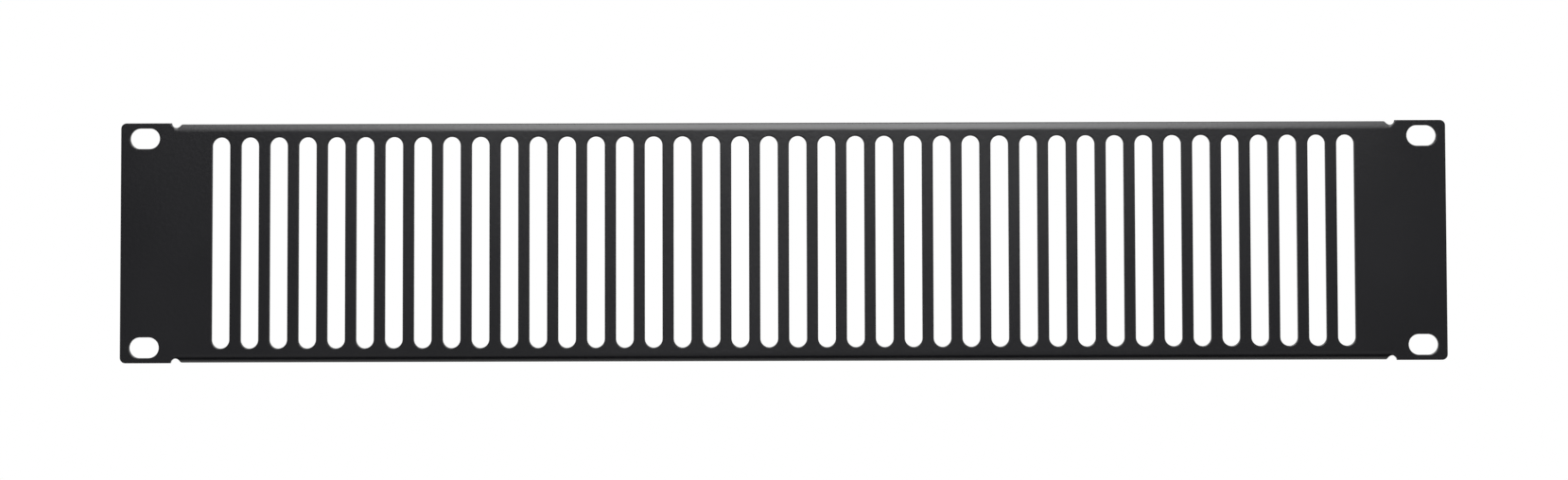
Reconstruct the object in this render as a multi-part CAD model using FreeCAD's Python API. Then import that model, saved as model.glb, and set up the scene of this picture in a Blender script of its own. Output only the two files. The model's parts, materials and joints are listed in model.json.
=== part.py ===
import FreeCAD, Part

import math
import os

# A vented blanking panel for a 19-inch rack, two units high: one blank of 1.5 mm sheet steel,
# punched flat and then folded back along its top and bottom edges. Millimetres throughout.
#
# X runs along the panel, Z is up, and the panel's front looks towards -Y. The origin is the
# centre of the rack fixing pattern, in the plane of the ears' rear faces, which seat on the rack.

# Sheet
SHEET = 1.5
BEND_INNER_R = 1.5

# Overall size: 19-inch panel width, and two rack units less the working clearance
WIDTH = 482.6
HEIGHT = 87.5
CORNER_R = 2.0

# Rack fixing slots, on the 19-inch pattern for two units
FIXING_SPACING_X = 465.1
FIXING_SPACING_Z = 76.2
FIXING_SLOT_LENGTH = 10.8
FIXING_SLOT_WIDTH = 7.5

# Ventilation slots: one row of upright slots with full-radius ends
VENT_COUNT = 40
VENT_PITCH = 10.5
VENT_WIDTH = 6.4
VENT_LENGTH = 77.0

# Folded flanges, measured from the panel's front face to their free edge
FLANGE_DEPTH = 12.0
FLANGE_INSET = 0.2
FLANGE_CORNER_R = 2.0

# Bend reliefs: round notches in the panel's edge, just outside the ends of the flanges
RELIEF_R = 1.6
RELIEF_FROM_END = 20.0

# Sizes that follow
FRONT = -SHEET
BEND_OUTER_R = BEND_INNER_R + SHEET
FLANGE_OUTER_Z = HEIGHT / 2 - FLANGE_INSET
BEND_START_Z = FLANGE_OUTER_Z - BEND_OUTER_R
BEND_CENTRE_Y = FRONT + BEND_OUTER_R
FLANGE_REAR = FRONT + FLANGE_DEPTH
RELIEF_X = WIDTH / 2 - RELIEF_FROM_END
FLANGE_END_X = RELIEF_X - RELIEF_R
CUT_MARGIN = 1.0


def point(x, y, z):
    """A position in the panel's frame."""
    return FreeCAD.Vector(x, y, z)


def line(start, end):
    """A straight edge between two positions."""
    return Part.LineSegment(start, end).toShape()


def arc_in_front_plane(centre_x, centre_z, radius, from_degrees, to_degrees):
    """An arc in the plane of the front face, its angles measured from +X towards +Z."""

    def at(degrees):
        angle = math.radians(degrees)
        return point(centre_x + radius * math.cos(angle), FRONT, centre_z + radius * math.sin(angle))

    return Part.Arc(at(from_degrees), at((from_degrees + to_degrees) / 2), at(to_degrees)).toShape()


def obround(centre_x, centre_z, length, width):
    """The closed outline of a level slot with full-radius ends, in the plane of the front face."""
    radius = width / 2
    reach = length / 2 - radius
    left_x = centre_x - reach
    right_x = centre_x + reach
    top_z = centre_z + radius
    bottom_z = centre_z - radius
    return Part.Wire(
        [
            arc_in_front_plane(right_x, centre_z, radius, -90, 90),
            line(point(right_x, FRONT, top_z), point(left_x, FRONT, top_z)),
            arc_in_front_plane(left_x, centre_z, radius, 90, 270),
            line(point(left_x, FRONT, bottom_z), point(right_x, FRONT, bottom_z)),
        ]
    )


def face_outline():
    """The flat face's outline: full height at the ears, and up to the bend lines between them."""
    half = WIDTH / 2
    edge = HEIGHT / 2
    corner_x = half - CORNER_R
    corner_z = edge - CORNER_R
    bend = BEND_START_Z
    edges = [
        line(point(half, FRONT, -corner_z), point(half, FRONT, corner_z)),
        arc_in_front_plane(corner_x, corner_z, CORNER_R, 0, 90),
        line(point(corner_x, FRONT, edge), point(RELIEF_X, FRONT, edge)),
        line(point(RELIEF_X, FRONT, edge), point(RELIEF_X, FRONT, bend)),
        line(point(RELIEF_X, FRONT, bend), point(-RELIEF_X, FRONT, bend)),
        line(point(-RELIEF_X, FRONT, bend), point(-RELIEF_X, FRONT, edge)),
        line(point(-RELIEF_X, FRONT, edge), point(-corner_x, FRONT, edge)),
        arc_in_front_plane(-corner_x, corner_z, CORNER_R, 90, 180),
        line(point(-half, FRONT, corner_z), point(-half, FRONT, -corner_z)),
        arc_in_front_plane(-corner_x, -corner_z, CORNER_R, 180, 270),
        line(point(-corner_x, FRONT, -edge), point(-RELIEF_X, FRONT, -edge)),
        line(point(-RELIEF_X, FRONT, -edge), point(-RELIEF_X, FRONT, -bend)),
        line(point(-RELIEF_X, FRONT, -bend), point(RELIEF_X, FRONT, -bend)),
        line(point(RELIEF_X, FRONT, -bend), point(RELIEF_X, FRONT, -edge)),
        line(point(RELIEF_X, FRONT, -edge), point(corner_x, FRONT, -edge)),
        arc_in_front_plane(corner_x, -corner_z, CORNER_R, 270, 360),
    ]
    return Part.Wire(edges)


def fixing_slots():
    """The outlines of the four rack fixing slots."""
    return [
        obround(
            side * FIXING_SPACING_X / 2,
            level * FIXING_SPACING_Z / 2,
            FIXING_SLOT_LENGTH,
            FIXING_SLOT_WIDTH,
        )
        for side in (-1, 1)
        for level in (-1, 1)
    ]


def vent_slots():
    """The outlines of the upright ventilation slots, evenly pitched and centred on the panel."""
    level_slot = obround(0, 0, VENT_LENGTH, VENT_WIDTH)
    upright_slot = level_slot.rotated(point(0, 0, 0), point(0, 1, 0), 90)
    first_x = -VENT_PITCH * (VENT_COUNT - 1) / 2
    return [
        upright_slot.translated(point(first_x + index * VENT_PITCH, 0, 0))
        for index in range(VENT_COUNT)
    ]


def flat_face():
    """The part of the blank that stays flat: the slotted face with both ears."""
    blank = Part.Face([face_outline()] + vent_slots() + fixing_slots())
    return blank.extrude(point(0, SHEET, 0))


def flange():
    """The top flange: its bend and flat leg as one section, carried along the fold line."""
    start = -RELIEF_X
    outer_z = FLANGE_OUTER_Z
    inner_z = FLANGE_OUTER_Z - SHEET
    diagonal = math.sqrt(0.5)

    def on_bend(radius):
        return point(start, BEND_CENTRE_Y - radius * diagonal, BEND_START_Z + radius * diagonal)

    outer_bend = Part.Arc(
        point(start, FRONT, BEND_START_Z),
        on_bend(BEND_OUTER_R),
        point(start, BEND_CENTRE_Y, outer_z),
    )
    inner_bend = Part.Arc(
        point(start, BEND_CENTRE_Y, inner_z),
        on_bend(BEND_INNER_R),
        point(start, 0, BEND_START_Z),
    )
    section = Part.Wire(
        [
            outer_bend.toShape(),
            line(point(start, BEND_CENTRE_Y, outer_z), point(start, FLANGE_REAR, outer_z)),
            line(point(start, FLANGE_REAR, outer_z), point(start, FLANGE_REAR, inner_z)),
            line(point(start, FLANGE_REAR, inner_z), point(start, BEND_CENTRE_Y, inner_z)),
            inner_bend.toShape(),
            line(point(start, 0, BEND_START_Z), point(start, FRONT, BEND_START_Z)),
        ]
    )
    folded = Part.Face(section).extrude(point(2 * RELIEF_X, 0, 0))
    return round_free_corners(cut_flange_ends(folded))


def cut_flange_ends(folded):
    """Trims the flat leg back to the relief's inner side, so that the notch is open to the rear."""
    end_length = RELIEF_X - FLANGE_END_X + CUT_MARGIN
    leg_length = FLANGE_REAR - BEND_CENTRE_Y + CUT_MARGIN
    leg_height = SHEET + 2 * CUT_MARGIN
    base_z = FLANGE_OUTER_Z - SHEET - CUT_MARGIN
    right = Part.makeBox(
        end_length, leg_length, leg_height, point(FLANGE_END_X, BEND_CENTRE_Y, base_z)
    )
    left = Part.makeBox(
        end_length, leg_length, leg_height, point(-FLANGE_END_X - end_length, BEND_CENTRE_Y, base_z)
    )
    return folded.cut([left, right])


def round_free_corners(folded):
    """Rounds the two free corners of a flange, at the edges that run through the sheet there."""
    corners = []
    for edge in folded.Edges:
        middle = edge.CenterOfMass
        at_end = math.isclose(abs(middle.x), FLANGE_END_X)
        at_rear = math.isclose(middle.y, FLANGE_REAR)
        if at_end and at_rear:
            corners.append(edge)
    return folded.makeFillet(FLANGE_CORNER_R, corners)


def relief_cutters():
    """Round pins that cut the four bend reliefs, centred on the ears' top and bottom edges."""
    length = FLANGE_DEPTH + 2 * CUT_MARGIN
    return [
        Part.makeCylinder(
            RELIEF_R,
            length,
            point(side * RELIEF_X, FRONT - CUT_MARGIN, level * HEIGHT / 2),
            point(0, 1, 0),
        )
        for side in (-1, 1)
        for level in (-1, 1)
    ]


def vented_panel():
    """The whole panel: the flat face and both folded flanges as one sheet, with its reliefs."""
    top_flange = flange()
    bottom_flange = top_flange.mirror(point(0, 0, 0), point(0, 0, 1))
    folded_sheet = flat_face().fuse([top_flange, bottom_flange])
    notched = folded_sheet.cut(relief_cutters())
    return notched.removeSplitter().Solids[0]


def main():
    """Writes the panel's STEP file."""
    os.makedirs("parts", exist_ok=True)
    panel = vented_panel()
    panel.exportStep("parts/vented_panel.step")


main()
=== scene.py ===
import json
import logging
import math
from dataclasses import dataclass
from enum import Enum
from typing import Any

import bmesh
import bpy
import numpy as np
from mathutils import Matrix, Vector


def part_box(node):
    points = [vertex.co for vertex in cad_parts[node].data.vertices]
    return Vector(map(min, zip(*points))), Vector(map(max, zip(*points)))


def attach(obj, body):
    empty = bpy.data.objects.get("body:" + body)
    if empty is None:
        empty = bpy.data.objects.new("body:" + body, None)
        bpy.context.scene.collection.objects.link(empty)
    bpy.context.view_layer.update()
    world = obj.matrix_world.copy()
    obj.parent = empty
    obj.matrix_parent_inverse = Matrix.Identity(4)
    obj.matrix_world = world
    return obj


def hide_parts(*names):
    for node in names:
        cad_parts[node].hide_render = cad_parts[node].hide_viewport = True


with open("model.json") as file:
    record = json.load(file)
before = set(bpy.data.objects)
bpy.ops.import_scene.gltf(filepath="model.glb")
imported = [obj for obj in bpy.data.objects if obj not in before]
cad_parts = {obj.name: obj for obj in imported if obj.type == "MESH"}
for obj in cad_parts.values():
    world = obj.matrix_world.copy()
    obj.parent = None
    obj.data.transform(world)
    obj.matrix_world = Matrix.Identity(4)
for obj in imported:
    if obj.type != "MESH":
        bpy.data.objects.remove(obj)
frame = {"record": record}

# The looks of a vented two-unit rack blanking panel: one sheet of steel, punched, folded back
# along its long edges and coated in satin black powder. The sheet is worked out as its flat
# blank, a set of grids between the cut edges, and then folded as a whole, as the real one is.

MM = 0.001
QUARTER_TURN = math.pi / 2
WELD_DISTANCE = 0.002 * MM
WHITE = "#FFFFFF"
NODE = "vented_panel"
LOG = logging.getLogger("rack_panel")

# A path has a row of x and height for each of its points. A grid has rows of such points, and
# gets a third number for each, its depth in the sheet, before it is folded.
Path = np.ndarray
Grid = np.ndarray


# ---------------------------------------------------------------------------------------------
# Grids and meshes
# ---------------------------------------------------------------------------------------------


def join_paths(*paths: np.ndarray) -> np.ndarray:
    """Joins paths or rows of positions end to end, leaving out each later one's repeated start."""
    return np.concatenate([paths[0], *(path[1:] for path in paths[1:])])


def path_of(x: np.ndarray | float, height: np.ndarray | float) -> Path:
    """Pairs positions along the blank with heights on it, repeating a single value as needed."""
    return np.stack(np.broadcast_arrays(x, height), axis=-1).astype(float)


def arc_path(centre: tuple[float, float], radius: float, angles: np.ndarray) -> Path:
    """A run of points at one radius about a centre, at the given angles in radians."""
    return path_of(centre[0] + radius * np.cos(angles), centre[1] + radius * np.sin(angles))


def ruled_grid(first: Path, second: Path, shares: np.ndarray) -> Grid:
    """Fills the strip between two paths: point = first + share * (second - first)."""
    return first[None] + shares[:, None, None] * (second - first)[None]


def square_grid(x: np.ndarray, heights: np.ndarray) -> Grid:
    """A plain grid with a point at each x and each height, or each y where it lies level."""
    return np.stack(np.meshgrid(x, heights), axis=-1)


def with_third(grid: Grid, value: float) -> Grid:
    """Gives each point of a grid a third number, such as its depth in the sheet."""
    return np.concatenate([grid, np.full(grid.shape[:-1] + (1,), value)], axis=-1)


def grid_quads(rows: int, columns: int) -> np.ndarray:
    """Makes a quad of each cell of a grid, whose points are counted row by row.

    Args:
        rows: How many rows of points the grid has.
        columns: How many points each row has.

    Returns:
        Four point numbers in each row, in order round the cell.
    """
    corner = np.arange(rows * columns).reshape(rows, columns)
    cells = [corner[:-1, :-1], corner[:-1, 1:], corner[1:, 1:], corner[1:, :-1]]
    return np.stack([cell.ravel() for cell in cells], axis=-1)


def stack_grids(grids: list[Grid]) -> tuple[np.ndarray, np.ndarray]:
    """Lays many grids end to end as one list of points and one list of quads.

    Args:
        grids: Grids of three-number points.

    Returns:
        The points, and the quads as numbers of points.
    """
    sizes = [grid.shape[0] * grid.shape[1] for grid in grids]
    starts = np.concatenate([[0], np.cumsum(sizes)[:-1]])
    points = np.concatenate([grid.reshape(-1, 3) for grid in grids])
    quads = [grid_quads(*grid.shape[:2]) + start for grid, start in zip(grids, starts)]
    return points, np.concatenate(quads)


def mesh_object(name: str, points: np.ndarray, quads: np.ndarray) -> bpy.types.Object:
    """Makes an object from points and quads, with its place in its mesh.

    Args:
        name: The object's name.
        points: Positions in metres, one row each.
        quads: Four point numbers in each row.

    Returns:
        The new object, linked to the scene.
    """
    mesh = bpy.data.meshes.new(name)
    mesh.vertices.add(len(points))
    mesh.vertices.foreach_set("co", points.ravel())
    mesh.loops.add(quads.size)
    mesh.loops.foreach_set("vertex_index", quads.ravel())
    mesh.polygons.add(len(quads))
    mesh.polygons.foreach_set("loop_start", np.arange(len(quads)) * quads.shape[1])
    mesh.update(calc_edges=True)
    piece = bpy.data.objects.new(name, mesh)
    bpy.context.scene.collection.objects.link(piece)
    return piece


def level_sheet(
    name: str, x: tuple[float, float], y: tuple[float, float], level: float
) -> bpy.types.Object:
    """Makes a single level quad, such as a floor.

    Args:
        name: The object's name.
        x: Where it begins and ends across.
        y: Where it begins and ends from front to back.
        level: Its height.

    Returns:
        The new object, linked to the scene.
    """
    corners = with_third(square_grid(np.array(x), np.array(y)), level)
    return mesh_object(name, *stack_grids([corners]))


def close_and_smooth(piece: bpy.types.Object, crease_degrees: float) -> None:
    """Welds the seams of a closed piece, points its faces outwards and smooths them.

    Args:
        piece: The object whose mesh is changed.
        crease_degrees: Edges that turn more than this stay sharp.
    """
    shell = bmesh.new()
    shell.from_mesh(piece.data)
    bmesh.ops.remove_doubles(shell, verts=shell.verts, dist=WELD_DISTANCE)
    bmesh.ops.recalc_face_normals(shell, faces=shell.faces)
    shell.to_mesh(piece.data)
    shell.free()
    piece.data.shade_smooth()
    piece.data.set_sharp_from_angle(angle=math.radians(crease_degrees))


# ---------------------------------------------------------------------------------------------
# The folded sheet
# ---------------------------------------------------------------------------------------------


class Face(Enum):
    """The two faces of the sheet."""

    FRONT = "front"
    BACK = "back"


@dataclass(frozen=True)
class PanelSizes:
    """The panel's sizes, in metres.

    The origin is the centre of the fixing pattern, in the plane of the ears' rear faces. The
    front face looks towards -y.
    """

    half_width: float
    half_height: float
    front: float
    flange_rear: float
    fixing_x: float
    fixing_z: float
    fixing_length: float
    fixing_width: float
    corner_radius: float = 2.0 * MM
    bend_inner_radius: float = 1.5 * MM
    flange_inset: float = 0.2 * MM
    flange_corner_radius: float = 2.0 * MM
    relief_radius: float = 1.6 * MM
    relief_from_end: float = 20.0 * MM
    vent_count: int = 40
    vent_pitch: float = 10.5 * MM
    vent_width: float = 6.4 * MM
    vent_length: float = 77.0 * MM
    front_edge_radius: float = 0.30 * MM
    back_edge_radius: float = 0.15 * MM

    @classmethod
    def from_frame(cls, record: dict[str, Any]) -> "PanelSizes":
        """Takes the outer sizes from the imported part, and the fixing slots from its record.

        Args:
            record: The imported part's record.

        Returns:
            The panel's sizes.
        """
        low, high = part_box(NODE)
        slots = next(mount for mount in record["mounts"] if mount["kind"] == "bolt_pattern")["dims"]
        return cls(
            half_width=(high[0] - low[0]) / 2,
            half_height=(high[2] - low[2]) / 2,
            front=low[1],
            flange_rear=high[1],
            fixing_x=slots["spacing_x_mm"] * MM / 2,
            fixing_z=slots["spacing_y_mm"] * MM / 2,
            fixing_length=slots["slot_length_mm"] * MM,
            fixing_width=slots["hole_r_mm"] * MM * 2,
        )

    @property
    def sheet(self) -> float:
        """The sheet's thickness."""
        return -self.front

    @property
    def relief_x(self) -> float:
        """How far the reliefs' centres are from the panel's middle."""
        return self.half_width - self.relief_from_end

    @property
    def flange_end(self) -> float:
        """How far the flanges' ends are from the panel's middle."""
        return self.relief_x - self.relief_radius

    @property
    def vents_end(self) -> float:
        """Half the length of the row of vents, with half a gap at its end."""
        return self.vent_count * self.vent_pitch / 2

    def edge_radius(self, face: Face) -> float:
        """How far a cut edge is rounded over on a face: more on the side the punch enters."""
        return self.front_edge_radius if face is Face.FRONT else self.back_edge_radius

    def depth(self, face: Face) -> float:
        """A face's depth in the sheet, counted from the front."""
        return 0.0 if face is Face.FRONT else self.sheet


@dataclass(frozen=True)
class Fold:
    """Folds the flat blank back along a line parallel to x, for heights above zero.

    A point of the blank has x, a height and a depth in the sheet. Up to the start of the bend
    the sheet is flat. The bend then turns by (height - start) / middle radius, up to a quarter
    turn, at the radius outer - depth, and the leg runs straight back from there. At fade_x the
    folded sheet runs out into the flat ear, over the length fade on each side.
    """

    front: float
    sheet: float
    start: float
    outer_radius: float
    fade_x: float
    fade: float = 0.8 * MM

    @property
    def middle_radius(self) -> float:
        """The bend's radius in the middle of the sheet, where its length doesn't change."""
        return self.outer_radius - self.sheet / 2

    @property
    def stop(self) -> float:
        """The height on the blank where the bend ends and the leg begins."""
        return self.start + self.middle_radius * QUARTER_TURN

    def strength(self, x: np.ndarray) -> np.ndarray:
        """How far the sheet is folded at x: share^2 * (3 - 2 * share), from 1 down to 0."""
        share = np.clip((self.fade_x + self.fade - x) / (2 * self.fade), 0, 1)
        return share * share * (3 - 2 * share)

    def place(self, blank: np.ndarray) -> np.ndarray:
        """Carries points of the blank to their places on the folded sheet.

        Args:
            blank: Rows of x, height and depth.

        Returns:
            Rows of x, y and z.
        """
        x, height, depth = blank.T
        turn = np.clip((height - self.start) / self.middle_radius, 0, QUARTER_TURN)
        radius = self.outer_radius - depth
        leg = np.maximum(height - self.stop, 0)
        folded_y = self.front + self.outer_radius - radius * np.cos(turn) + leg
        folded_z = np.minimum(height, self.start) + radius * np.sin(turn)
        share = self.strength(x)
        y = share * folded_y + (1 - share) * (self.front + depth)
        z = share * folded_z + (1 - share) * height
        return np.stack([x, y, z], axis=-1)

    def height_on_blank(self, x: np.ndarray, z: np.ndarray) -> np.ndarray:
        """Finds what height on the blank ends up at z on the front face.

        On the bend this is start + middle radius * arcsin((z - start) / outer radius).

        Args:
            x: Positions along the panel.
            z: Heights on the folded front face, no higher than the bend reaches.

        Returns:
            Heights on the flat blank.
        """
        rise = np.clip((z - self.start) / self.outer_radius, 0, 1)
        on_bend = np.minimum(z, self.start) + self.middle_radius * np.arcsin(rise)
        share = self.strength(x)
        return share * on_bend + (1 - share) * z


@dataclass(frozen=True)
class FlatBlank:
    """The quarter of the flat blank with x and height above zero, as grids of quads.

    Every cut edge is a path that a method gives for an inset: 0 is the cut edge itself, and the
    edge's rounding radius is where the flat face begins. Steps are how many cells a grid has
    along a stretch, and shares are where its lines lie across one.
    """

    sizes: PanelSizes
    fold: Fold
    level_steps: int = 3
    end_steps: int = 3
    bend_steps: int = 8
    vent_arc_steps: int = 20
    vent_top_steps: int = 12
    relief_steps: int = 12
    corner_steps: int = 6
    ear_steps: int = 24
    ear_side_steps: int = 12
    edge_steps: int = 3
    fixing_margin: float = 1.85 * MM
    ear_last_share: float = 0.99
    ring_shares: tuple[float, ...] = (0.0, 0.08, 0.92, 1.0)
    leg_shares: tuple[float, ...] = (0.0, 0.05, 0.97, 1.0)
    above_arc_shares: tuple[float, ...] = (0.0, 0.35, 0.7, 0.94, 1.0)
    least_rise: float = 1e-9

    # Lines that neighbouring grids share

    @property
    def vent_arc_height(self) -> float:
        """Where a vent's straight sides end and its round end begins."""
        return (self.sizes.vent_length - self.sizes.vent_width) / 2

    @property
    def cell_floor(self) -> float:
        """The lower edge of the cell around a fixing slot."""
        return self.sizes.fixing_z - self.sizes.fixing_width / 2 - self.fixing_margin

    @property
    def leg_top(self) -> float:
        """The height on the blank of the flange's free edge."""
        leg = self.sizes.flange_rear - self.sizes.front - self.fold.outer_radius
        return self.fold.stop + leg

    def low_levels(self) -> np.ndarray:
        """Heights from the middle of the panel to the floor of the fixing slot's cell."""
        return np.linspace(0, self.cell_floor, self.level_steps + 1)

    def high_levels(self) -> np.ndarray:
        """Heights from the floor of the fixing slot's cell to the vents' round ends."""
        return np.linspace(self.cell_floor, self.vent_arc_height, self.level_steps + 1)

    def vent_side_levels(self) -> np.ndarray:
        """Heights along a vent's straight side."""
        return join_paths(self.low_levels(), self.high_levels())

    def above_arc_levels(self) -> np.ndarray:
        """Heights from the end of a vent's straight side to the start of the bend."""
        rise = self.fold.start - self.vent_arc_height
        return self.vent_arc_height + rise * np.array(self.above_arc_shares)

    def flat_levels(self) -> np.ndarray:
        """Heights from the middle of the panel to the start of the bend."""
        return join_paths(self.vent_side_levels(), self.above_arc_levels())

    def bend_levels(self, top: float) -> np.ndarray:
        """Heights from the start of the bend to a top, evenly spaced."""
        return np.linspace(self.fold.start, top, self.bend_steps + 1)

    def field_x(self) -> np.ndarray:
        """Positions along the top of the row of vents, the same in every cell."""
        cells = self.sizes.vent_count // 2
        return np.linspace(0, self.sizes.vents_end, cells * self.vent_top_steps + 1)

    def end_x(self, inset: float) -> np.ndarray:
        """Positions from the row of vents to the flange's end, closer where its corner is round.

        Args:
            inset: How far inside the cut edge the last position is.

        Returns:
            Positions along the panel.
        """
        radius = self.sizes.flange_corner_radius
        corner = self.sizes.flange_end - radius
        turn = np.linspace(0, QUARTER_TURN, self.corner_steps + 1)
        return join_paths(
            np.linspace(self.sizes.vents_end, corner, self.end_steps + 1),
            corner + (radius - inset) * np.sin(turn),
        )

    def ear_start(self, inset: float) -> float:
        """Where the ear's straight top edge begins, at the relief's outer corner."""
        radius = self.sizes.relief_radius + inset
        return self.sizes.relief_x + math.sqrt(radius**2 - inset**2)

    def below_relief_x(self, inset: float) -> np.ndarray:
        """Positions below the relief, from the flange's end to the ear."""
        return np.linspace(
            self.sizes.flange_end - inset, self.ear_start(inset), self.relief_steps + 1
        )

    def ear_x(self, inset: float) -> np.ndarray:
        """Positions across the ear, with a narrow last step beside the cut edge.

        Args:
            inset: How far inside the cut edges the first and last positions are.

        Returns:
            Positions along the panel.
        """
        shares = np.append(np.linspace(0, self.ear_last_share, self.ear_steps), 1.0)
        start = self.ear_start(inset)
        return start + shares * (self.sizes.half_width - inset - start)

    # Cut edges

    def vent_edge(self, centre: float, inset: float) -> Path:
        """The upper half of a vent's outline: a straight side, a half circle, a straight side.

        Args:
            centre: The vent's place along the panel.
            inset: How far outside the hole the path runs.

        Returns:
            The path, from the lower left over the top.
        """
        radius = self.sizes.vent_width / 2 + inset
        sides = self.vent_side_levels()
        turn = np.linspace(math.pi, 0, self.vent_arc_steps + 1)
        return join_paths(
            path_of(centre - radius, sides),
            arc_path((centre, self.vent_arc_height), radius, turn),
            path_of(centre + radius, sides[::-1]),
        )

    def flange_edge(self, inset: float) -> Path:
        """The flange's free edge, from the middle of the panel to its rounded corner."""
        x = join_paths(self.field_x(), self.end_x(inset)[: -self.corner_steps])
        return path_of(x, self.leg_top - inset)

    def flange_corner(self, inset: float) -> Path:
        """The rounded corner of the flange's free edge, a quarter circle.

        Args:
            inset: How far inside the cut edge the path runs.

        Returns:
            The path, from the free edge to the flange's end.
        """
        radius = self.sizes.flange_corner_radius
        centre = (self.sizes.flange_end - radius, self.leg_top - radius)
        turn = np.linspace(QUARTER_TURN, 0, self.corner_steps + 1)
        return arc_path(centre, radius - inset, turn)

    def flange_end_edge(self, inset: float) -> Path:
        """The flange's end, a straight run.

        Args:
            inset: How far inside the cut edge the path runs.

        Returns:
            The path, from the rounded corner down to the bend.
        """
        leg = self.leg_top - self.sizes.flange_corner_radius - self.fold.stop
        heights = self.fold.stop + leg * np.array(self.leg_shares)
        return path_of(self.sizes.flange_end - inset, heights[::-1])

    def relief_edge(self, inset: float) -> Path:
        """The relief: a half circle as seen from the front, ending at the ear's corner.

        Args:
            inset: How far outside the notch the path runs.

        Returns:
            The path, from the flange's end round under the notch to the ear.
        """
        turn = np.linspace(math.pi, 2 * math.pi, self.relief_steps + 1)
        centre = (self.sizes.relief_x, self.sizes.half_height)
        seen = arc_path(centre, self.sizes.relief_radius + inset, turn)
        seen[-1] = (self.ear_start(inset), self.sizes.half_height - inset)
        return path_of(seen[:, 0], self.fold.height_on_blank(seen[:, 0], seen[:, 1]))

    def ear_top(self, inset: float) -> Path:
        """The ear's straight top edge.

        Args:
            inset: How far inside the cut edge the path runs.

        Returns:
            The path, from the relief to the rounded corner.
        """
        end = self.sizes.half_width - self.sizes.corner_radius
        x = np.linspace(self.ear_start(inset), end, self.ear_steps + 1)
        return path_of(x, self.sizes.half_height - inset)

    def ear_corner(self, inset: float) -> Path:
        """The ear's rounded outer corner, a quarter circle.

        Args:
            inset: How far inside the cut edge the path runs.

        Returns:
            The path, from the top edge to the panel's end.
        """
        radius = self.sizes.corner_radius
        centre = (self.sizes.half_width - radius, self.sizes.half_height - radius)
        turn = np.linspace(QUARTER_TURN, 0, self.corner_steps + 1)
        return arc_path(centre, radius - inset, turn)

    def ear_side(self, inset: float) -> Path:
        """The panel's end beside the fixing slot's cell.

        Args:
            inset: How far inside the cut edge the path runs.

        Returns:
            The path, from the rounded corner down to the floor of the cell.
        """
        top = self.sizes.half_height - self.sizes.corner_radius
        heights = np.linspace(top, self.cell_floor, self.ear_side_steps + 1)
        return path_of(self.sizes.half_width - inset, heights)

    def ear_low_side(self, inset: float) -> Path:
        """The panel's end below the fixing slot's cell."""
        return path_of(self.sizes.half_width - inset, self.low_levels()[::-1])

    def fixing_edge(self, inset: float) -> Path:
        """A fixing slot's outline, an obround, with a point towards each point of its cell.

        A ray from the slot's centre towards the cell's outline meets the slot's flat side at
        radius / |rise| or, past its end, the round end. The least rise keeps a level ray from
        dividing by zero. The inset then moves each point away from the nearest point of the
        slot's middle line.

        Args:
            inset: How far outside the hole the path runs.

        Returns:
            The path, point for point with the cell's outline.
        """
        radius = self.sizes.fixing_width / 2
        reach = self.sizes.fixing_length / 2 - radius
        centre = np.array([self.sizes.fixing_x, self.sizes.fixing_z])
        ray = self.fixing_cell(0.0) - centre
        run, rise = (ray / np.linalg.norm(ray, axis=1, keepdims=True)).T
        flat = radius / np.maximum(np.abs(rise), self.least_rise)
        end = reach * np.abs(run) + np.sqrt(radius**2 - (reach * rise) ** 2)
        distance = np.where(flat * np.abs(run) <= reach, flat, end)
        edge = path_of(distance * run, distance * rise)
        spine = path_of(np.clip(edge[:, 0], -reach, reach), 0.0)
        away = (edge - spine) / np.linalg.norm(edge - spine, axis=1, keepdims=True)
        return centre + spine + (radius + inset) * away

    def fixing_cell(self, inset: float) -> Path:
        """The outline of the cell around a fixing slot, clockwise from its lower inner corner.

        Args:
            inset: How far inside the ear's cut edges the outline runs.

        Returns:
            The closed path.
        """
        inner_side = join_paths(
            self.high_levels(),
            self.above_arc_levels(),
            self.bend_levels(self.sizes.half_height - inset),
        )
        return join_paths(
            path_of(self.ear_start(inset), inner_side),
            self.ear_top(inset),
            self.ear_corner(inset),
            self.ear_side(inset),
            path_of(self.ear_x(inset)[::-1], self.cell_floor),
        )

    # Grids

    def vent_centres(self) -> np.ndarray:
        """The vents' centres along this half of the panel."""
        return (np.arange(self.sizes.vent_count // 2) + 0.5) * self.sizes.vent_pitch

    def vent_cell(self, centre: float) -> Path:
        """The outline of the cell around the upper half of a vent: up, across and down.

        Args:
            centre: The vent's place along the panel.

        Returns:
            The path, point for point with the vent's edge.
        """
        left = centre - self.sizes.vent_pitch / 2
        right = centre + self.sizes.vent_pitch / 2
        top = np.linspace(left, right, self.vent_top_steps + 1)
        return join_paths(
            path_of(left, self.flat_levels()),
            path_of(top, self.fold.start),
            path_of(right, self.flat_levels()[::-1]),
        )

    def leg_grid(self, x: np.ndarray, free_edge: Path) -> Grid:
        """A stretch of the flange's leg, from the end of the bend to a path at its free edge."""
        return ruled_grid(path_of(x, self.fold.stop), free_edge, np.array(self.leg_shares))

    def field_grids(self, inset: float) -> list[Grid]:
        """The row of vents, and the bend and the leg above it.

        Args:
            inset: The rounding radius of the cut edges on this face.

        Returns:
            Grids of x and height.
        """
        field = self.field_x()
        ring = np.array(self.ring_shares)
        vents = [
            ruled_grid(self.vent_edge(centre, inset), self.vent_cell(centre), ring)
            for centre in self.vent_centres()
        ]
        return vents + [
            square_grid(field, self.bend_levels(self.fold.stop)),
            self.leg_grid(field, path_of(field, self.leg_top - inset)),
        ]

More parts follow.
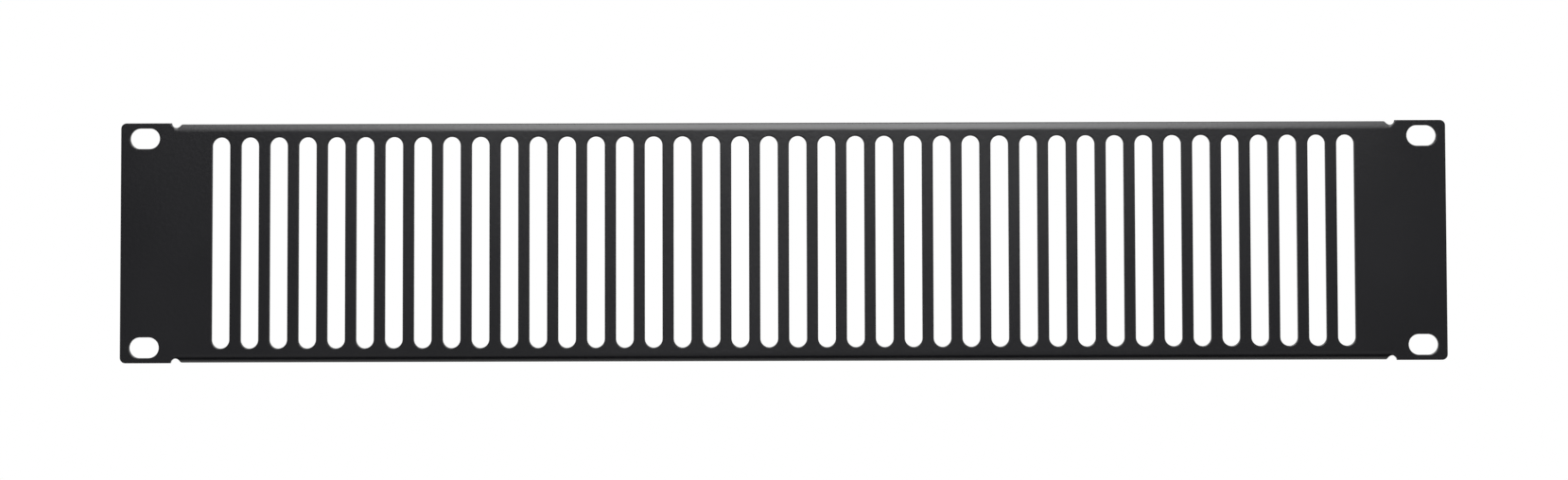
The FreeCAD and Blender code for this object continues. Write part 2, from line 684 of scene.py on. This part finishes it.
    def end_grids(self, inset: float) -> list[Grid]:
        """The plain stretch from the row of vents to the flange's end, with its bend and leg.

        Args:
            inset: The rounding radius of the cut edges on this face.

        Returns:
            Grids of x and height.
        """
        end = self.end_x(inset)
        straight = path_of(end[: -self.corner_steps], self.leg_top - inset)
        return [
            square_grid(end, self.flat_levels()),
            square_grid(end, self.bend_levels(self.fold.stop)),
            self.leg_grid(end, join_paths(straight, self.flange_corner(inset))),
        ]

    def ear_grids(self, inset: float) -> list[Grid]:
        """The strip below the relief, and the ear with its fixing slot.

        Args:
            inset: The rounding radius of the cut edges on this face.

        Returns:
            Grids of x and height.
        """
        strip = self.below_relief_x(inset)
        rows = np.linspace(0, 1, self.bend_steps + 1)
        ring = np.array(self.ring_shares)
        return [
            square_grid(strip, self.flat_levels()),
            ruled_grid(path_of(strip, self.fold.start), self.relief_edge(inset), rows),
            square_grid(self.ear_x(inset), self.low_levels()),
            ruled_grid(self.fixing_edge(inset), self.fixing_cell(inset), ring),
        ]

    def face_grids(self, face: Face) -> list[Grid]:
        """All the grids of one face of the sheet, between the roundings of its cut edges.

        Args:
            face: Which face of the sheet.

        Returns:
            Grids of x, height and depth.
        """
        inset = self.sizes.edge_radius(face)
        grids = self.field_grids(inset) + self.end_grids(inset) + self.ear_grids(inset)
        return [with_third(grid, self.sizes.depth(face)) for grid in grids]

    def edge_grids(self) -> list[Grid]:
        """The rounded edges of every cut: a profile carried along each path.

        The profile leaves the front face, turns through a quarter circle into the cut, crosses
        the sheet and turns through a smaller quarter circle into the back face.

        Returns:
            Grids of x, height and depth, with one row for each point of the profile.
        """
        paths = [
            self.flange_edge,
            self.flange_corner,
            self.flange_end_edge,
            self.relief_edge,
            self.ear_top,
            self.ear_corner,
            self.ear_side,
            self.ear_low_side,
            self.fixing_edge,
        ]
        runs = [[path(inset) for inset in self.insets()] for path in paths]
        runs += [
            [self.vent_edge(centre, inset) for inset in self.insets()]
            for centre in self.vent_centres()
        ]
        return [self.rounded_edge(*run) for run in runs]

    def insets(self) -> tuple[float, float, float]:
        """The insets of the cut edge, of the front face's rounding and of the back face's."""
        return 0.0, self.sizes.edge_radius(Face.FRONT), self.sizes.edge_radius(Face.BACK)

    def rounded_edge(self, cut: Path, front: Path, back: Path) -> Grid:
        """Carries the edge profile along one cut.

        Each rounding is a quarter circle: it runs out by radius * (1 - sin(turn)) and goes down
        by radius * (1 - cos(turn)).

        Args:
            cut: The cut edge's path.
            front: Where the front face's rounding begins, point for point.
            back: Where the back face's rounding begins, point for point.

        Returns:
            A grid of x, height and depth.
        """
        turn = np.linspace(0, QUARTER_TURN, self.edge_steps + 1)
        shares = 1 - np.sin(turn)
        drop = 1 - np.cos(turn)
        front_rows = ruled_grid(cut, front, shares)
        back_rows = ruled_grid(cut, back, shares[::-1])
        front_depth = self.sizes.edge_radius(Face.FRONT) * drop
        back_depth = self.sizes.sheet - self.sizes.edge_radius(Face.BACK) * drop[::-1]
        rows = np.concatenate([front_rows, back_rows])
        depth = np.concatenate([front_depth, back_depth])
        depth_grid = np.broadcast_to(depth[:, None, None], rows.shape[:2] + (1,))
        return np.concatenate([rows, depth_grid], axis=-1)


@dataclass(frozen=True)
class VentedPanel:
    """The whole panel: the folded blank, mirrored into its four quarters and coated."""

    sizes: PanelSizes
    crease_degrees: float = 40.0

    def fold(self) -> Fold:
        """The fold along the panel's upper edge. The lower one is its mirror image."""
        outer_radius = self.sizes.bend_inner_radius + self.sizes.sheet
        return Fold(
            front=self.sizes.front,
            sheet=self.sizes.sheet,
            start=self.sizes.half_height - self.sizes.flange_inset - outer_radius,
            outer_radius=outer_radius,
            fade_x=self.sizes.relief_x,
        )

    def build(self) -> bpy.types.Object:
        """Folds one quarter of the blank, mirrors it and welds the four into a closed sheet.

        Returns:
            The panel, with its place in its mesh.
        """
        fold = self.fold()
        blank = FlatBlank(self.sizes, fold)
        grids = blank.face_grids(Face.FRONT) + blank.face_grids(Face.BACK) + blank.edge_grids()
        flat_points, quads = stack_grids(grids)
        quarter = fold.place(flat_points)
        sides = np.array([[side, 1.0, level] for side in (1.0, -1.0) for level in (1.0, -1.0)])
        points = (quarter[None] * sides[:, None]).reshape(-1, 3)
        starts = np.arange(len(sides)) * len(quarter)
        all_quads = (quads[None] + starts[:, None, None]).reshape(-1, quads.shape[1])
        panel = mesh_object("folded_panel", points, all_quads)
        close_and_smooth(panel, self.crease_degrees)
        return panel

    def dress(self, panel: bpy.types.Object, coat: "PowderCoat") -> None:
        """Coats the panel, and lets it stand for the plain solid.

        Args:
            panel: The panel's object.
            coat: The finish it gets.
        """
        panel.data.materials.append(coat.material())
        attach(panel, "root")
        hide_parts(NODE)


# ---------------------------------------------------------------------------------------------
# Finishes
# ---------------------------------------------------------------------------------------------


def linear(hex_colour: str) -> tuple[float, float, float, float]:
    """Turns an sRGB colour into linear light.

    Each part is divided by 12.92 up to 0.04045, and is ((part + 0.055) / 1.055)^2.4 above it.

    Args:
        hex_colour: The colour as "#" and six hex digits.

    Returns:
        Linear red, green and blue, and an alpha of 1.
    """
    parts = [int(hex_colour[i : i + 2], 16) / 255 for i in (1, 3, 5)]
    red, green, blue = [p / 12.92 if p <= 0.04045 else ((p + 0.055) / 1.055) ** 2.4 for p in parts]
    return red, green, blue, 1.0


def add_node(
    tree: bpy.types.NodeTree,
    kind: str,
    inputs: dict[str | int, Any] | None = None,
    **settings: Any,
) -> bpy.types.Node:
    """Adds a node with its settings, values and links.

    Args:
        tree: The node tree.
        kind: The node's type.
        inputs: For each input's name or number, a value, or the output socket to link to it.
        settings: The node's own properties.

    Returns:
        The new node.
    """
    node = tree.nodes.new(kind)
    for name, value in settings.items():
        setattr(node, name, value)
    for key, value in (inputs or {}).items():
        if isinstance(value, bpy.types.NodeSocket):
            tree.links.new(value, node.inputs[key])
        else:
            node.inputs[key].default_value = value
    return node


def new_material(name: str) -> tuple[bpy.types.Material, bpy.types.NodeTree]:
    """Makes an empty material.

    Args:
        name: The material's name.

    Returns:
        The material and its node tree.
    """
    material = bpy.data.materials.new(name)
    material.use_nodes = True
    material.node_tree.nodes.clear()
    return material, material.node_tree


@dataclass(frozen=True)
class PowderCoat:
    """Satin black polyester powder, baked onto steel.

    It gives the eye a deep, slightly cool black with a soft, wide sheen, a very fine pebbled
    skin where the powder flowed together, and a slow change in gloss from one hand's width to
    the next. Noise keeps to the middle of its range, so that a skin height of 0.035 mm gives
    pebbles about 0.015 mm high, as on the real coat.
    """

    dark: str = "#09090D"
    light: str = "#0C0C11"
    ior: float = 1.5
    specular_level: float = 0.5
    roughness_low: float = 0.32
    roughness_high: float = 0.36
    cloud_size: float = 60 * MM
    cloud_low: float = 0.3
    cloud_high: float = 0.7
    skin_size: float = 1.4 * MM
    skin_height: float = 0.035 * MM
    grain_size: float = 0.35 * MM
    grain_height: float = 0.008 * MM

    def material(self) -> bpy.types.Material:
        """Builds the coat: colour and gloss from a slow cloud, and a two-scale pebbled bump.

        Returns:
            The material.
        """
        material, tree = new_material("satin_black_powder_coat")
        place = add_node(tree, "ShaderNodeTexCoord").outputs["Object"]
        cloud = add_node(
            tree,
            "ShaderNodeTexNoise",
            {"Vector": place, "Scale": 1 / self.cloud_size, "Detail": 3.0, "Roughness": 0.5},
        )
        skin = add_node(
            tree,
            "ShaderNodeTexNoise",
            {"Vector": place, "Scale": 1 / self.skin_size, "Detail": 1.0, "Roughness": 0.4},
        )
        grain = add_node(
            tree,
            "ShaderNodeTexNoise",
            {"Vector": place, "Scale": 1 / self.grain_size, "Detail": 2.0, "Roughness": 0.6},
        )
        # Inputs 0, 6 and 7 of a colour mix are its share and its two colours.
        colour = add_node(
            tree,
            "ShaderNodeMix",
            {0: cloud.outputs["Fac"], 6: linear(self.dark), 7: linear(self.light)},
            data_type="RGBA",
        )
        gloss = add_node(
            tree,
            "ShaderNodeMapRange",
            {
                "Value": cloud.outputs["Fac"],
                "From Min": self.cloud_low,
                "From Max": self.cloud_high,
                "To Min": self.roughness_low,
                "To Max": self.roughness_high,
            },
        )
        skin_bump = add_node(
            tree,
            "ShaderNodeBump",
            {"Height": skin.outputs["Fac"], "Strength": 1.0, "Distance": self.skin_height},
        )
        grain_bump = add_node(
            tree,
            "ShaderNodeBump",
            {
                "Height": grain.outputs["Fac"],
                "Strength": 1.0,
                "Distance": self.grain_height,
                "Normal": skin_bump.outputs["Normal"],
            },
        )
        coat = add_node(
            tree,
            "ShaderNodeBsdfPrincipled",
            {
                "Base Color": colour.outputs[2],
                "Roughness": gloss.outputs["Result"],
                "IOR": self.ior,
                "Specular IOR Level": self.specular_level,
                "Normal": grain_bump.outputs["Normal"],
            },
        )
        add_node(tree, "ShaderNodeOutputMaterial", {"Surface": coat.outputs["BSDF"]})
        return material


# ---------------------------------------------------------------------------------------------
# The studio
# ---------------------------------------------------------------------------------------------


def seen_directly(tree: bpy.types.NodeTree) -> bpy.types.NodeSocket:
    """A mask that is 1 for what is seen straight, in a reflection or through glass.

    Args:
        tree: The node tree that gets the mask's nodes.

    Returns:
        The mask's output socket.
    """
    rays = add_node(tree, "ShaderNodeLightPath")
    direct = add_node(
        tree,
        "ShaderNodeMath",
        {0: rays.outputs["Is Camera Ray"], 1: rays.outputs["Is Glossy Ray"]},
        operation="MAXIMUM",
    )
    every = add_node(
        tree,
        "ShaderNodeMath",
        {0: direct.outputs[0], 1: rays.outputs["Is Transmission Ray"]},
        operation="MAXIMUM",
    )
    return every.outputs[0]


@dataclass(frozen=True)
class SoftBox:
    """A rectangular studio lamp with a diffuser, aimed at a point. Its sizes are in metres."""

    name: str
    place: tuple[float, float, float]
    aim: tuple[float, float, float]
    width: float
    height: float
    radiance: float

    def build(self) -> bpy.types.Object:
        """Makes the lamp. Its power is pi * area * radiance, so that a size change keeps its look.

        Returns:
            The lamp.
        """
        light = bpy.data.lights.new(self.name, "AREA")
        light.shape = "RECTANGLE"
        light.size = self.width
        light.size_y = self.height
        light.energy = math.pi * self.width * self.height * self.radiance
        lamp = bpy.data.objects.new(self.name, light)
        direction = Vector(self.aim) - Vector(self.place)
        turn = direction.to_track_quat("-Z", "Y").to_matrix().to_4x4()
        lamp.matrix_world = Matrix.Translation(self.place) @ turn
        bpy.context.scene.collection.objects.link(lamp)
        return lamp


@dataclass(frozen=True)
class Studio:
    """A pale floor, a white surround, two soft boxes and a black card for painted shade.

    Sizes are in metres. Levels and lifts are shares of white.
    """

    floor_drop: float = 2.0
    floor_reach: float = 38.0
    floor_colour: str = "#E6E6E6"
    floor_lift: float = 0.22
    floor_lift_to_camera: float = 0.38
    surround_level: float = 0.42
    front_level: float = 0.02
    dim_end: float = -0.9
    bright_end: float = -0.4
    # The card's colour is painted shade: only reflections show it, as a dark reflection on the
    # lower bend.
    painted_shade_colour: str = "#101010"
    card_drop: float = 0.30
    card_front: float = -0.35
    card_back: float = -0.03
    card_reach: float = 0.9
    boxes: tuple[SoftBox, ...] = (
        SoftBox(
            name="front_soft_box",
            place=(0.02, -0.70, 0.67),
            aim=(0.0, 0.0, 0.0),
            width=0.62,
            height=1.00,
            radiance=6.8,
        ),
        SoftBox(
            name="top_soft_box",
            place=(0.02, 0.0, 1.2),
            aim=(0.02, 0.0, 0.0),
            width=0.70,
            height=0.80,
            radiance=4.5,
        ),
    )

    def floor(self, lowest: float) -> bpy.types.Object:
        """A wide pale floor, some way below the panel, which hangs by its fixings.

        Args:
            lowest: The height of the panel's lowest point.

        Returns:
            The floor.
        """
        span = (-self.floor_reach, self.floor_reach)
        floor = level_sheet("studio_floor", span, span, lowest - self.floor_drop)
        floor.data.materials.append(self.floor_material())
        return floor

    def floor_material(self) -> bpy.types.Material:
        """Matt pale paper, which keeps soft shadows.

        It is paler by one step wherever it is seen, so that reflections show it too, and by a
        further step to the camera, so that only a faint line parts it from the white surround.

        Returns:
            The material.
        """
        material, tree = new_material("matt_pale_paper")
        paper = add_node(tree, "ShaderNodeBsdfDiffuse", {"Color": linear(self.floor_colour)})
        first_step = add_node(
            tree,
            "ShaderNodeMath",
            {0: seen_directly(tree), 1: self.floor_lift},
            operation="MULTIPLY",
        )
        both_steps = add_node(
            tree,
            "ShaderNodeMath",
            {
                0: add_node(tree, "ShaderNodeLightPath").outputs["Is Camera Ray"],
                1: self.floor_lift_to_camera,
                2: first_step.outputs[0],
            },
            operation="MULTIPLY_ADD",
        )
        lift = add_node(
            tree,
            "ShaderNodeEmission",
            {"Color": linear(WHITE), "Strength": both_steps.outputs[0]},
        )
        both = add_node(tree, "ShaderNodeAddShader", {0: paper.outputs[0], 1: lift.outputs[0]})
        add_node(tree, "ShaderNodeOutputMaterial", {"Surface": both.outputs[0]})
        return material

    def surround(self) -> None:
        """A white surround. Its end that the panel faces is dim, in mirrors and as light.

        The shape rises from the front level to 1 as the direction's y goes from the dim end to
        the bright end. Glossy and transmitted rays see white times the shape, and the light is
        a part of that. The camera sees white everywhere.
        """
        world = bpy.data.worlds.new("white_surround")
        world.use_nodes = True
        tree = world.node_tree
        tree.nodes.clear()
        direction = add_node(tree, "ShaderNodeTexCoord").outputs["Generated"]
        along = add_node(tree, "ShaderNodeSeparateXYZ", {"Vector": direction})
        shape = add_node(
            tree,
            "ShaderNodeMapRange",
            {
                "Value": along.outputs["Y"],
                "From Min": self.dim_end,
                "From Max": self.bright_end,
                "To Min": self.front_level,
                "To Max": 1.0,
            },
            interpolation_type="SMOOTHSTEP",
        )
        level = add_node(
            tree,
            "ShaderNodeMapRange",
            {"Value": seen_directly(tree), "To Min": self.surround_level, "To Max": 1.0},
        )
        shaped = add_node(
            tree,
            "ShaderNodeMath",
            {0: shape.outputs["Result"], 1: level.outputs["Result"]},
            operation="MULTIPLY",
        )
        strength = add_node(
            tree,
            "ShaderNodeMath",
            {
                0: shaped.outputs[0],
                1: add_node(tree, "ShaderNodeLightPath").outputs["Is Camera Ray"],
            },
            operation="MAXIMUM",
        )
        light = add_node(
            tree,
            "ShaderNodeBackground",
            {"Color": linear(WHITE), "Strength": strength.outputs[0]},
        )
        add_node(tree, "ShaderNodeOutputWorld", {"Surface": light.outputs[0]})
        bpy.context.scene.world = world

    def card(self, lowest: float) -> bpy.types.Object:
        """A black card that lies under the panel's lower bend and keeps it dark: painted shade,
        seen in that bend as a dark reflection.

        Reflections alone show it: it is in no view, and neither lights nor shades anything.

        Args:
            lowest: The height of the panel's lowest point.

        Returns:
            The card.
        """
        x = (-self.card_reach, self.card_reach)
        y = (self.card_front, self.card_back)
        card = level_sheet("painted_shade_card", x, y, lowest - self.card_drop)
        # Its dark colour is painted shade, seen only as a dark reflection on the panel's lower
        # bend.
        material, tree = new_material("painted_shade_black")
        shade_bsdf = add_node(tree, "ShaderNodeBsdfDiffuse", {"Color": linear(self.painted_shade_colour)})
        add_node(tree, "ShaderNodeOutputMaterial", {"Surface": shade_bsdf.outputs[0]})
        card.data.materials.append(material)
        card.visible_camera = False
        card.visible_diffuse = False
        card.visible_shadow = False
        return card

    def build(self, lowest: float) -> list[bpy.types.Object]:
        """Sets up the whole studio around the panel.

        Args:
            lowest: The height of the panel's lowest point.

        Returns:
            The floor, the card and the lamps.
        """
        self.surround()
        return [self.floor(lowest), self.card(lowest), *(box.build() for box in self.boxes)]


@dataclass(frozen=True)
class ViewCamera:
    """A long-lens camera square on to the panel, a little below its middle and tipped up.

    Its distance and the point it aims at, measured from the panel's middle, are in metres. Its
    sensor's width is in millimetres, as the lens is.
    """

    distance: float = 1.0
    pitch_degrees: float = 2.2
    roll_degrees: float = 0.155
    panel_share: float = 0.8459
    aim_right: float = 0.2 * MM
    aim_up: float = 0.5 * MM
    sensor_width: float = 36.0
    farthest: float = 200.0

    def build(self, sizes: PanelSizes) -> bpy.types.Object:
        """Sets up the camera so that the panel takes its share of the picture's width.

        Args:
            sizes: The panel's sizes.

        Returns:
            The camera.
        """
        data = bpy.data.cameras.new("view_camera")
        data.sensor_width = self.sensor_width
        seen_width = 2 * sizes.half_width / self.panel_share
        data.lens = self.sensor_width * self.distance / seen_width
        data.clip_end = self.farthest
        pitch = math.radians(self.pitch_degrees)
        aim = Vector((self.aim_right, sizes.front, self.aim_up))
        back = Vector((0.0, -math.cos(pitch), -math.sin(pitch))) * self.distance
        upright = Matrix.Rotation(QUARTER_TURN + pitch, 4, "X")
        roll = Matrix.Rotation(-math.radians(self.roll_degrees), 4, "Z")
        camera = bpy.data.objects.new("view_camera", data)
        camera.matrix_world = Matrix.Translation(aim + back) @ upright @ roll
        bpy.context.scene.collection.objects.link(camera)
        bpy.context.scene.camera = camera
        return camera


def main() -> None:
    """Builds the studio and the panel."""
    logging.basicConfig(level=logging.INFO)
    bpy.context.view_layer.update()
    bpy.context.scene.view_settings.view_transform = "Standard"
    sizes = PanelSizes.from_frame(frame["record"])
    camera = ViewCamera().build(sizes)
    LOG.info("%s: lens of %.1f mm", camera.name, camera.data.lens)
    for prop in Studio().build(-sizes.half_height):
        LOG.info("%s: in the studio", prop.name)
    vented = VentedPanel(sizes)
    panel = vented.build()
    vented.dress(panel, PowderCoat())
    LOG.info("%s: %d faces, %s", panel.name, len(panel.data.polygons), panel.active_material.name)


if __name__ == "__main__":
    main()
